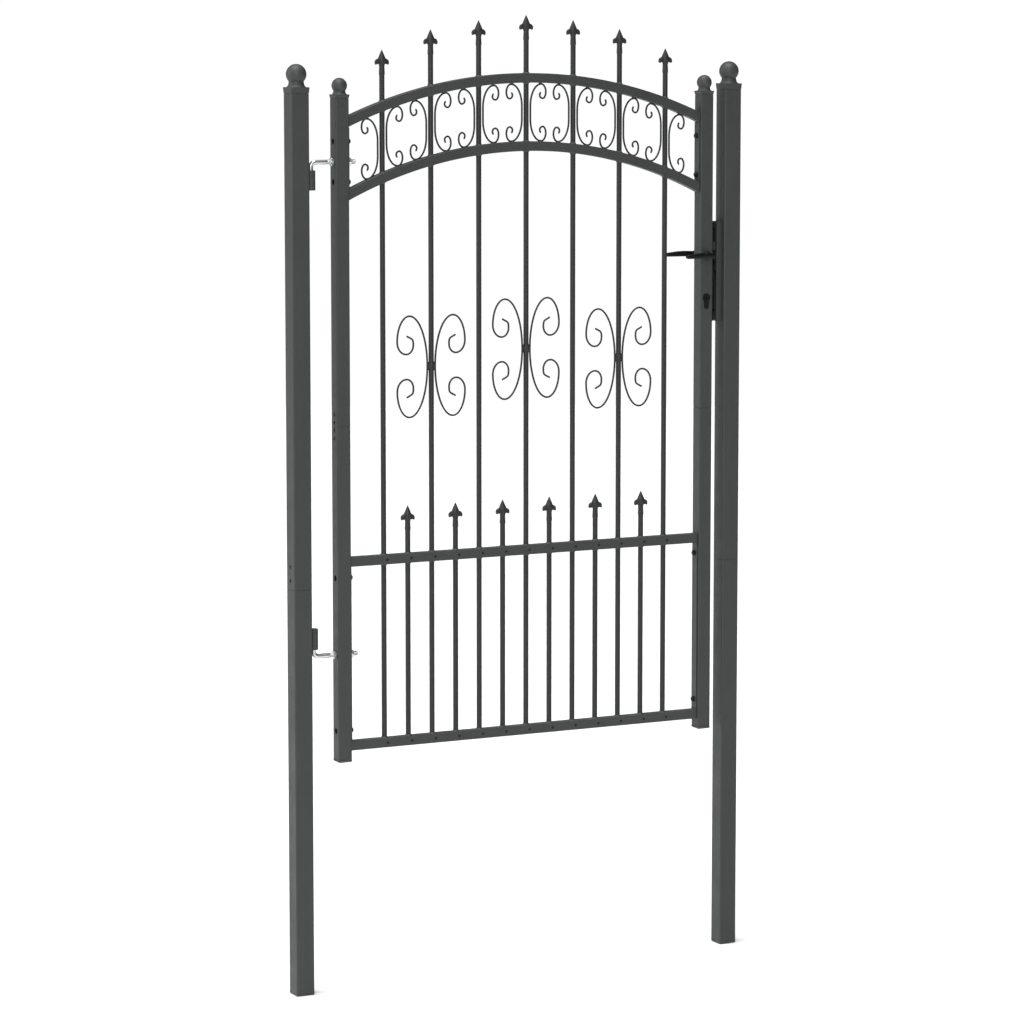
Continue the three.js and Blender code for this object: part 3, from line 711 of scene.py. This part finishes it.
def stile_foot(node):
    """A plastic plug with a rounded sole."""
    low, high = span(node)
    place = on((middle(node).x, 0, 0))
    side, plug = FOOT["side"], FOOT["plug"]
    sole = [(0, 3), (0.4, 2.2), (2.3, 0.2), (3, 0), (4.6, 0), (5, 0.4)]
    foot = Draft().beam(side, side, FOOT["corner"], [(low.z + h, a) for h, a in sole], place)
    rows = [(low.z + 4.5, 0), (high.z - 1, 0), (high.z, 1)]
    foot.beam(plug, plug, FOOT["plug_corner"], rows, place)
    piece(f"{node}_look", foot, "leaf", PLASTIC, [node])


for side, sign in SIDES:
    post(side, sign)
for side, sign in SIDES:
    stile(side, sign)
for side, sign in SIDES:
    ball_cap(f"{side}_post_cap", "posts", **POST_CAP)
    ball_cap(f"{side}_stile_cap", "leaf", **STILE_CAP)
    stile_foot(f"{side}_stile_foot")

# ---------------------------------------------------------------- rails


def arch_height(arch, x, inset=0.0):
    """Height of the circle that lies inset below an arch's upper side."""
    crown, radius = arch
    return crown - radius + math.sqrt((radius - inset) ** 2 - (x - LEAF_MID) ** 2)


def picket_x(place):
    return LEAF_MID + place * PITCH


def bead(draft, point, normal):
    """A weld bead round a picket where it enters a rail."""
    r = PICKET_R
    profile = [(r - 1, -0.6), (r + 2.1, -0.6), (r + 1.9, 0.3), (r + 1.1, 1.2), (r + 0.2, 2.3)]
    draft.turn([*profile, (r - 1, 2.4)], on(point, normal), 28, loop=True, bump=0.16)


def arch_rail(node, arch):
    """A bent square bar cut off upright at both ends, with its pickets' weld beads."""
    low, high = span(node)
    section = rounded(RAIL, RAIL, RAIL_CORNER)
    rings = []
    for k in range(ARCH_STEPS + 1):
        x = low.x + (high.x - low.x) * k / ARCH_STEPS
        rings.append([(x, y, arch_height(arch, x, RAIL / 2 - a)) for a, y in section])
    draft = Draft().loft(rings)
    for place in TALL:
        x = picket_x(place)
        lean = (x - LEAF_MID) / arch[1]
        up = Vector((lean, 0, math.sqrt(1 - lean * lean)))
        bead(draft, (x, 0, arch_height(arch, x)), up)
        bead(draft, (x, 0, arch_height(arch, x, RAIL)), -up)
    piece(f"{node}_look", draft, "leaf", PAINT, [node])


def straight_rail(node, through):
    """A square bar with weld beads above, and below where the pickets go through."""
    low, high = span(node)
    mid = (low + high) / 2
    rows = [(low.x, RAIL_EASE), (low.x + RAIL_EASE, 0)]
    rows += [(high.x - RAIL_EASE, 0), (high.x, RAIL_EASE)]
    draft = Draft().beam(RAIL, RAIL, RAIL_CORNER, rows, on((0, mid.y, mid.z), X))
    pins = Draft()
    for place in TALL + SHORT:
        x = picket_x(place)
        bead(draft, (x, 0, high.z), Z)
        if through:
            bead(draft, (x, 0, low.z), (0, 0, -1))
        spot = (x + SCREW_OFFSET, -RAIL / 2 + SCREW_SINK, mid.z)
        pins.turn(PICKET_SCREW, on(spot, (0, -1, 0)), 20)
    piece(f"{node}_look", draft, "leaf", PAINT, [node])
    piece(f"{node}_pins", pins, "leaf", BLACK)


straight_rail("bottom_rail", through=False)
straight_rail("mid_rail", through=True)
arch_rail("upper_arch_rail", UPPER_ARCH)
arch_rail("lower_arch_rail", LOWER_ARCH)

# ---------------------------------------------------------------- scrolls


def quarter(start, end, kind, steps):
    """Points after start of a quarter ellipse that leaves start upright or level."""
    points = []
    for k in range(1, steps + 1):
        turn = k / steps * math.pi / 2
        early, late = 1 - math.cos(turn), math.sin(turn)
        along, up = (early, late) if kind == "rise" else (late, early)
        points.append((start[0] + (end[0] - start[0]) * along, start[1] + (end[1] - start[1]) * up))
    return points


def curl(start, knots, steps):
    """Points of a wire that leaves start upright and curls in through the knots."""
    points = [start]
    for i, (knot, count) in enumerate(zip(knots, steps)):
        points += quarter(points[-1], knot, "level" if i % 2 else "rise", count)
    return points


def band_scroll(name, centre):
    """The C-scrolls on both sides of a picket, with the blobs of weld that hold them."""
    shoulder = (BAND_BACK, -BAND_SHOULDER)
    coarse = curl(shoulder, BAND_KNOTS, BAND_CAD_STEPS)
    fine = curl(shoulder, BAND_KNOTS, BAND_STEPS)
    draft = Draft()
    for side in (-1, 1):
        ends = [(centre + side * u, w) for u, w in coarse]
        half = [(centre + side * u, w) for u, w in fine]
        top = min(arch_height(UPPER_ARCH, x, RAIL) - GAP - WIRE_R - w for x, w in ends)
        bottom = max(arch_height(LOWER_ARCH, x) - BAND_SINK + WIRE_R + w for x, w in ends)
        path = [(x, bottom - w) for x, w in reversed(half)] + [(x, top + w) for x, w in half]
        draft.wire(path, WIRE_R)
        x = centre + side * (BAND_KNOTS[0][0] - 2)
        for arch, inset, way in ((UPPER_ARCH, RAIL, -1), (LOWER_ARCH, 0, 1)):
            spot = (x, 0, arch_height(arch, x, inset) + way * 0.4)
            draft.turn(WELD_BLOB, on(spot, (0, 0, way)), 20, bump=0.2)
    piece(name, draft, "leaf", SHADED_BARS)


def butterfly_scroll(node):
    """A collar round a picket, and a C-scroll welded to each side of it."""
    low, high = span(node)
    x, z = (low.x + high.x) / 2, (low.z + high.z) / 2
    wing = curl((WING_BACK, 0), WING_KNOTS, WING_STEPS) + WING_TAIL
    draft = Draft()
    for side in (-1, 1):
        path = [(x + side * u, z - w) for u, w in reversed(wing[1:])]
        draft.wire(path + [(x + side * u, z + w) for u, w in wing], WIRE_R)
    r = COLLAR_R
    ring = [(5, -5.4), (r - 0.9, -6), (r - 0.3, -5.4), (r, -4.4), (r - 0.25, -3.2), (r, -2)]
    ring += [(r, 2), (r - 0.25, 3.2), (r, 4.4), (r - 0.3, 5.4), (r - 0.9, 6), (5, 5.4)]
    draft.turn(ring, on((x, 0, z)), 36, loop=True)
    for side in (-1, 1):
        draft.turn(WING_WELD, on((x + side * WING_WELD_X, 0, z)), 16, bump=0.15)
    piece(f"{node}_look", draft, "leaf", SHADED_BARS, [node])


for n, place in enumerate(TALL, 1):
    band_scroll(f"band_scroll_{n}", picket_x(place))
for n in (1, 2, 3):
    butterfly_scroll(f"butterfly_scroll_{n}")

# ---------------------------------------------------------------- flats and their bolts


def flat_bar(panel, side, sign):
    """A flat bar of a panel, and the bolts and nuts that hold it to the stile."""
    node = f"{panel}_{side}_flat"
    piece(f"{node}_look", from_cad(node, 0.5), "leaf", PAINT, [node])
    low, high = span(node)
    face = low.x if sign > 0 else high.x
    back = high.x + GAP + WALL if sign > 0 else low.x - GAP - WALL
    bolts = Draft()
    for z in PANEL_BOLT_Z[panel]:
        bolts.turn(PANEL_BOLT, on((face, 0, z), (-sign, 0, 0)), 40)
        bolts.turn(PANEL_SHANK, on((back + sign, 0, z), (-sign, 0, 0)), 20)
        bolts.turn(PANEL_NUT, on((back, 0, z), (sign, 0, 0)), 36)
    piece(f"{panel}_{side}_panel_bolts", bolts, "leaf", BLACK)


for panel in PANEL_BOLT_Z:
    for side, sign in SIDES:
        flat_bar(panel, side, sign)

# ---------------------------------------------------------------- pickets

SPEAR = [  # height from the tip, half width, half depth, power of the oval
    (-54, 5.5, 5.5, 2),
    (-52, 5.6, 5.6, 2),
    (-51, 6.1, 6.1, 2),
    (-49.5, 6.25, 6.25, 2),
    (-47.5, 6.15, 6.15, 2),
    (-40, 5.8, 5.8, 2),
    (-33.5, 5.6, 5.6, 2),
    (-30, 6.6, 6.1, 2),
    (-26.5, 8, 6.9, 1.95),
    (-23, 8.7, 7.4, 1.9),
    (-20.5, 8.9, 7.5, 1.85),
    (-18.5, 8.6, 7.3, 1.8),
    (-13, 6.3, 5.5, 1.75),
    (-7, 3.6, 3.2, 1.75),
    (-2.5, 1.5, 1.4, 1.8),
    (-0.6, 0.6, 0.6, 2),
    (0, 0.15, 0.15, 2),
]
BARB = [  # half width, height from the tip
    (4.5, -17.4),
    (7.5, -18.1),
    (10.4, -18.9),
    (12.8, -20.3),
    (14.6, -22.4),
    (15.4, -25),
    (15.4, -28),
    (14.8, -30),
    (13.4, -30.9),
    (12, -30.2),
    (10.9, -28.4),
    (9.4, -27.3),
    (7.6, -27.8),
    (4.2, -30.5),
]


def picket(node):
    """A round bar with a spearhead and two barbs."""
    low, high = span(node)
    x, tip = (low.x + high.x) / 2, high.z
    rows = [(low.z, 4.9, 4.9, 2), (low.z + 0.4, PICKET_R, PICKET_R, 2)]
    rows += [(tip + h, a, b, power) for h, a, b, power in SPEAR]
    draft = Draft().loft([oval(a, b, power, h) for h, a, b, power in rows], on((x, 0, 0)))
    outline = [(x - u, tip + w) for u, w in BARB]
    outline += [(x + u, tip + w) for u, w in reversed(BARB)]
    draft.slab(outline, -BARB_HALF_THICK, BARB_HALF_THICK, 2, 3)
    piece(f"{node}_look", draft, "leaf", SHADED_BARS, [node], smooth=48)


for kind, places in (("tall", TALL), ("short", SHORT)):
    for n in range(1, len(places) + 1):
        picket(f"{kind}_picket_{n}")

# ---------------------------------------------------------------- hinges


def hinge_barrel(name, low, high):
    """A bored barrel on a web that is welded to the post."""
    post_face = span("left_post_upper")[1].x
    mid, half = (low + high) / 2, (high - low) / 2
    outer, bore, ease = BARREL["outer"], BARREL["bore"], BARREL["ease"]
    inside = [(bore, half - ease), (bore + ease, half)]
    outside = [(outer - ease, half), (outer, half - ease)]
    sleeve = [(r, -h) for r, h in inside + outside] + outside[::-1] + inside[::-1]
    draft = Draft().turn(sleeve, on((HINGE_X, 0, mid)), 48, loop=True)
    edge = HINGE_X - WEB_REACH
    rows = [(-half, 0.4), (-half + 0.4, 0), (half - 0.4, 0), (half, 0.4)]
    place = on(((post_face + edge) / 2, 0, mid))
    draft.beam(edge - post_face - GAP, WEB_THICK, 0.6, rows, place)
    steps = int(half * 2 / 1.6)
    for side in (-1, 1):
        seam = []
        for k in range(steps + 1):
            h = mid - half + 1 + (2 * half - 2) * k / steps
            r = SEAM_R * (1 + 0.22 * math.sin(k * 1.9))
            ring = []
            for i in range(10):
                a = 2 * math.pi * i / 10
                x = post_face + 0.6 + r * math.cos(a)
                ring.append((x, side * WEB_THICK / 2 + r * math.sin(a), h))
            seam.append(ring)
        draft.loft(seam)
    node = f"{name}_hinge_barrel"
    piece(f"{node}_look", draft, "posts", PAINT, [node])


def hinge_bolt(name, arm, pin):
    """A bent rod from the end of its pin to the end of its threaded arm."""
    node = f"{name}_hinge_bolt"
    way = 1 if arm > pin else -1
    elbow = (HINGE_X, arm - way * HINGE_BEND)
    level = (HINGE_X + HINGE_BEND, arm)
    thread = span("left_stile_upper")[0].x - THREAD_START
    path = [(HINGE_X, pin), (HINGE_X, pin + way * 4), elbow]
    path += quarter(elbow, level, "rise", 12)
    path += [(thread - 1, arm), (thread + 0.5, arm)]
    draft = Draft().wire(path, HINGE_R, 28)
    end = span(node)[1].x
    draft.thread(on((thread, 0, arm), X), end - thread, HINGE_R - 0.02)
    piece(f"{node}_look", draft, "leaf", ZINC, [node], smooth=50)


def hinge_nut(node, arm):
    """A hexagon nut with chamfered ends."""
    low, high = span(node)
    thick, flats = high.x - low.x, high.y - low.y
    far = flats / math.sqrt(3)
    profile = [(4.7, 0.7), (5.6, 0, 99), (flats / 2 - 0.3, 0, flats)]
    profile += [(far - 0.6, 0.35, flats), (far, 0.9, flats)]
    rows = profile + [(r, thick - h, *f) for r, h, *f in reversed(profile)]
    nut = Draft().turn(rows, on((low.x, 0, arm), X), 72, loop=True)
    piece(f"{node}_look", nut, "leaf", ZINC, [node], smooth=30)


for name, hinge in HINGES.items():
    hinge_barrel(name, hinge["low"], hinge["high"])
    hinge_bolt(name, hinge["arm"], hinge["pin"])
    for where in ("outer", "inner"):
        hinge_nut(f"{name}_{where}_hinge_nut", hinge["arm"])

# ---------------------------------------------------------------- lock


def rounded_cad(node, body, look, width, segments=2, sharp=40):
    piece(f"{node}_look", from_cad(node, width, segments, sharp), body, look, [node])


rounded_cad("strike_keeper", "posts", PAINT, 0.45)
rounded_cad("lock_case", "leaf", BLACK, 0.35)
rounded_cad("latch_bolt", "latch_bolt", DARK_STEEL, 0.5, 3)
rounded_cad("dead_bolt", "dead_bolt", DARK_STEEL, 0.5, 3)
rounded_cad("cylinder_plug", "cylinder_plug", BLACK, 0.25, 2, 50)

low, high = span("lock_case")
screws = Draft()
for z in (low.z + FOREND_SCREW_INSET, high.z - FOREND_SCREW_INSET):
    screw_head(screws, (high.x, 0, z), X, **FOREND_SCREW)
piece("forend_screws", screws, "leaf", DARK_STEEL)

low, high = span("strike_keeper")
from_foot, from_middle, from_top = KEEPER_SCREW_AT
screws = Draft()
for z in (low.z + from_foot, (low.z + high.z) / 2 + from_middle, high.z - from_top):
    screw_head(screws, (KEEPER_FACE, KEEPER_SCREW_Y, z), (-1, 0, 0), **KEEPER_SCREW)
piece("keeper_screws", screws, "posts", BLACK)

barrel = Draft().slab(key_outline(0), -CYLINDER["half"], CYLINDER["half"], 0.5)
bore = [(CYLINDER["bore"], -THROUGH), (CYLINDER["bore"], THROUGH)]
cutter = Draft().turn(bore, on((middle("lock_cylinder").x, 0, KEY_Z), Y), 40)
piece("lock_cylinder_look", barrel, "leaf", BLACK, ["lock_cylinder"], cutter)

# ---------------------------------------------------------------- handle


def lever(node, way):
    """A turned hub on the stile and an arm with an arched top and rounded edges."""
    x = middle("spindle").x
    base, near, step = HUB_BASE["r"], HUB_BASE["near"], HUB_BASE["far"]
    hub = [
        (base - 0.7, near),
        (base, near + 0.6),
        (base, step - 1.2),
        (base - 0.5, step - 0.3),
        (HUB_R + 0.6, step),
        (HUB_R - 0.3, step + 0.8),
        (HUB_R - 0.6, step + 3),
        (HUB_R - 0.5, step + 9),
        (HUB_R, step + 14),
        (HUB_R, LEVER_FAR - 2.2),
        (HUB_R - 0.5, LEVER_FAR - 0.9),
        (HUB_R - 1.6, LEVER_FAR - 0.1),
        (0.3, LEVER_FAR),
    ]
    draft = Draft().turn(hub, on((x, 0, SPINDLE_Z), (0, way, 0)), 48)
    rings = []
    count = 30
    for k in range(count + 1):
        share = k / count
        u = -LEVER_REACH * (1 - (1 - share) ** 1.25)
        top = 5.6 + 1.4 * math.sin(math.pi * min(1, 1.3 * share)) - 2.6 * share ** 2
        low = -5.4 + 0.3 * share
        into_end = max(0, (-u - LEVER_REACH + LEVER_END) / LEVER_END)
        taper = math.sqrt(max(0.0, 1 - into_end ** 2)) * 0.9 + 0.1
        centre, half = (top + low) / 2, (top - low) / 2 * taper
        deep = LEVER_HALF_DEEP * (0.55 + 0.45 * taper)
        y = way * (LEVER_FAR - LEVER_INSET)
        section = oval(deep, half, LEVER_POWER, 0, 28)
        rings.append([(u, y + across, centre + up) for across, up, _ in section])
    lean = Matrix.Rotation(-way * LEVER_SWEEP, 4, "Z")
    draft.loft(rings, Matrix.Translation((x, 0, SPINDLE_Z)) @ lean)
    piece(f"{node}_look", draft, "levers", BLACK, [node], smooth=50)


lever("front_lever", -1)
lever("back_lever", 1)

# The sleeves and the spindle are shown as they are in the CAD.
bare = ["left_post_sleeve", "right_post_sleeve", "left_stile_sleeve", "right_stile_sleeve", "spindle"]
for node in bare:
    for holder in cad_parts[node].material_slots:
        holder.material = STEEL["material"]

# ---------------------------------------------------------------- stage, light and camera

FLOOR_R = 12
FLOOR_DROP = 0.001  # keeps the floor clear of the posts' feet
CAMERA_PLACE = (-3.6326, -7.1769, 2.0221)
CAMERA_PITCH = math.radians(-6.758)
CAMERA_TURN = math.radians(-26.748)
SKY_BY_HEIGHT = (-0.1, 1.0, 0.16, 0.6)  # from direction Z to strength
SKY_BY_SIDE = (-0.7, 0.7, 1.2, 0.25)  # from direction X to a factor on that


def show(name, data):
    """Links a new object to the scene."""
    obj = bpy.data.objects.new(name, data)
    bpy.context.scene.collection.objects.link(obj)
    return obj


def aim(obj, target):
    direction = Vector(target) - obj.location
    obj.rotation_euler = direction.to_track_quat("-Z", "Y").to_euler()


def softbox(name, place, target, size, power):
    light = bpy.data.lights.new(name, "AREA")
    light.shape, light.size, light.size_y, light.energy = "RECTANGLE", *size, power
    obj = show(name, light)
    obj.location = place
    obj.visible_camera = False
    aim(obj, target)


def studio_world():
    """Plain white where the camera sees it, and a soft sky, brighter at the left, as light."""
    world = bpy.data.worlds.new("studio")
    world.use_nodes = True
    tree = world.node_tree
    tree.nodes.clear()
    out = tree.nodes.new("ShaderNodeOutputWorld")
    rays = tree.nodes.new("ShaderNodeLightPath")
    both = tree.nodes.new("ShaderNodeMixShader")
    lit, seen = (tree.nodes.new("ShaderNodeBackground") for _ in range(2))
    lit.inputs["Color"].default_value = (1, 1, 1, 1)
    seen.inputs["Color"].default_value = (1, 1, 1, 1)
    seen.inputs["Strength"].default_value = 1.02
    way = tree.nodes.new("ShaderNodeTexCoord")
    split = tree.nodes.new("ShaderNodeSeparateXYZ")
    height, across = (tree.nodes.new("ShaderNodeMapRange") for _ in range(2))
    for node, values in ((height, SKY_BY_HEIGHT), (across, SKY_BY_SIDE)):
        for i, value in enumerate(values, 1):
            node.inputs[i].default_value = value
    glow = tree.nodes.new("ShaderNodeMath")
    glow.operation = "MULTIPLY"
    for source, target in (
        (way.outputs["Generated"], split.inputs[0]),
        (split.outputs[2], height.inputs[0]),
        (split.outputs[0], across.inputs[0]),
        (height.outputs[0], glow.inputs[0]),
        (across.outputs[0], glow.inputs[1]),
        (glow.outputs[0], lit.inputs["Strength"]),
        (rays.outputs["Is Camera Ray"], both.inputs[0]),
        (lit.outputs[0], both.inputs[1]),
        (seen.outputs[0], both.inputs[2]),
        (both.outputs[0], out.inputs[0]),
    ):
        tree.links.new(source, target)
    return world


disc = bmesh.new()
bmesh.ops.create_circle(disc, cap_ends=True, segments=96, radius=FLOOR_R)
mesh = bpy.data.meshes.new("floor")
disc.to_mesh(mesh)
disc.free()
mesh.materials.append(floor_material("pale_floor"))
floor = show("floor", mesh)
floor.location.z = -FLOOR_DROP

softbox("key", place=(-3.2, -5.8, 3.7), target=(0, 0, 1.7), size=(2.4, 3), power=208)
softbox("side", place=(-5.5, 2.4, 2.8), target=(0, 0, 1.7), size=(2.4, 3.4), power=130)
sun = bpy.data.lights.new("sky", "SUN")
sun.angle, sun.energy = math.radians(50), 3.5
sky = show("sky", sun)
sky.location = (-1.2, -0.8, 6)
aim(sky, (0, 0, 0))

scene = bpy.context.scene
scene.world = studio_world()
scene.view_settings.view_transform = "Standard"
scene.view_settings.look = "None"

camera = show("camera", bpy.data.cameras.new("camera"))
camera.data.sensor_width = 36
camera.data.lens = 135
camera.data.shift_y = -0.04
camera.data.clip_end = 100
camera.location = CAMERA_PLACE
camera.rotation_euler = (math.radians(90) + CAMERA_PITCH, 0, CAMERA_TURN)
scene.camera = camera
